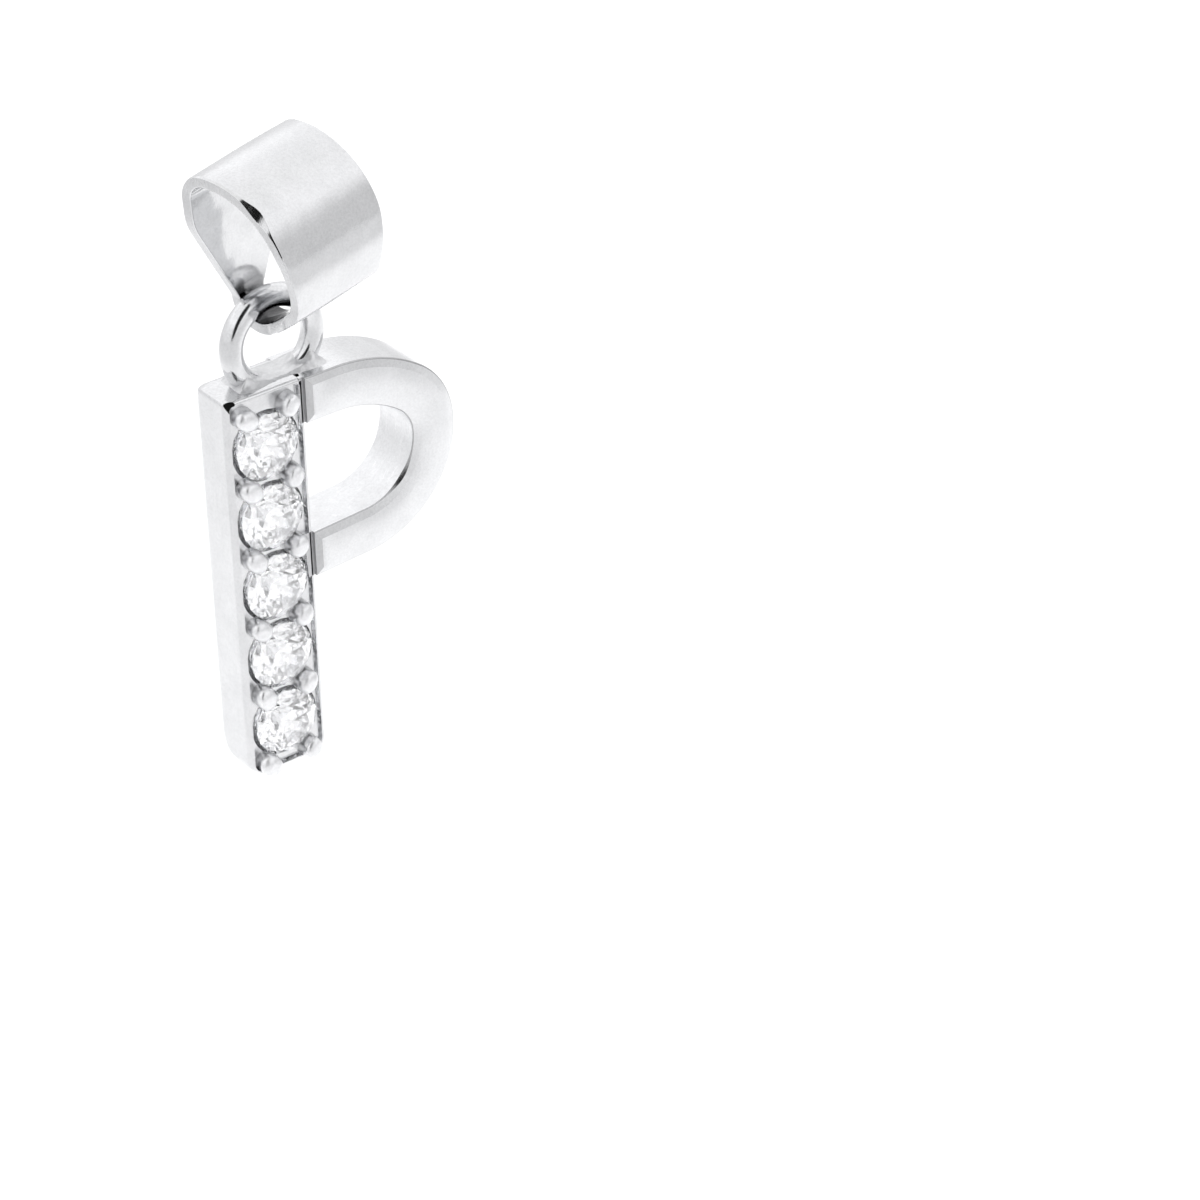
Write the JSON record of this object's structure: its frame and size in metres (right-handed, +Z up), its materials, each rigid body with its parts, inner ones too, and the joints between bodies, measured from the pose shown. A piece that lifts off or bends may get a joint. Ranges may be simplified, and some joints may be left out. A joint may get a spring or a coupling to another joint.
{
  "type": "initial pendant",
  "caption": "Letter P pendant with a row of round stones down its stem and a plain polished bowl, hung by a soldered ring from a tapered bail that runs on a chain.",
  "frame": {"origin": "where a chain bears on the inside of the bail, at the middle of its top", "axes": "+Z up as the pendant hangs, -Y the way the letter faces, +X to the right of the letter as it is read"},
  "size_m": [0.0077, 0.0046, 0.0195],
  "materials": {
    "bail": "polished silver",
    "letter": "polished silver",
    "stones": "cut and polished, clear"
  },
  "bodies": {
    "bail": {"bail": "bail"},
    "letter": {"letter": "letter", "stone_1": "stones", "stone_2": "stones", "stone_3": "stones", "stone_4": "stones", "stone_5": "stones"}
  },
  "joints": [
    {"name": "letter_swing", "type": "hinge", "parent": "bail", "child": "letter", "pos_m": [0.00024, 0.00031, -0.00429], "axis": [0.9739, 0.2159, 0.0698], "range_deg": [-45, 75]}
  ]
}
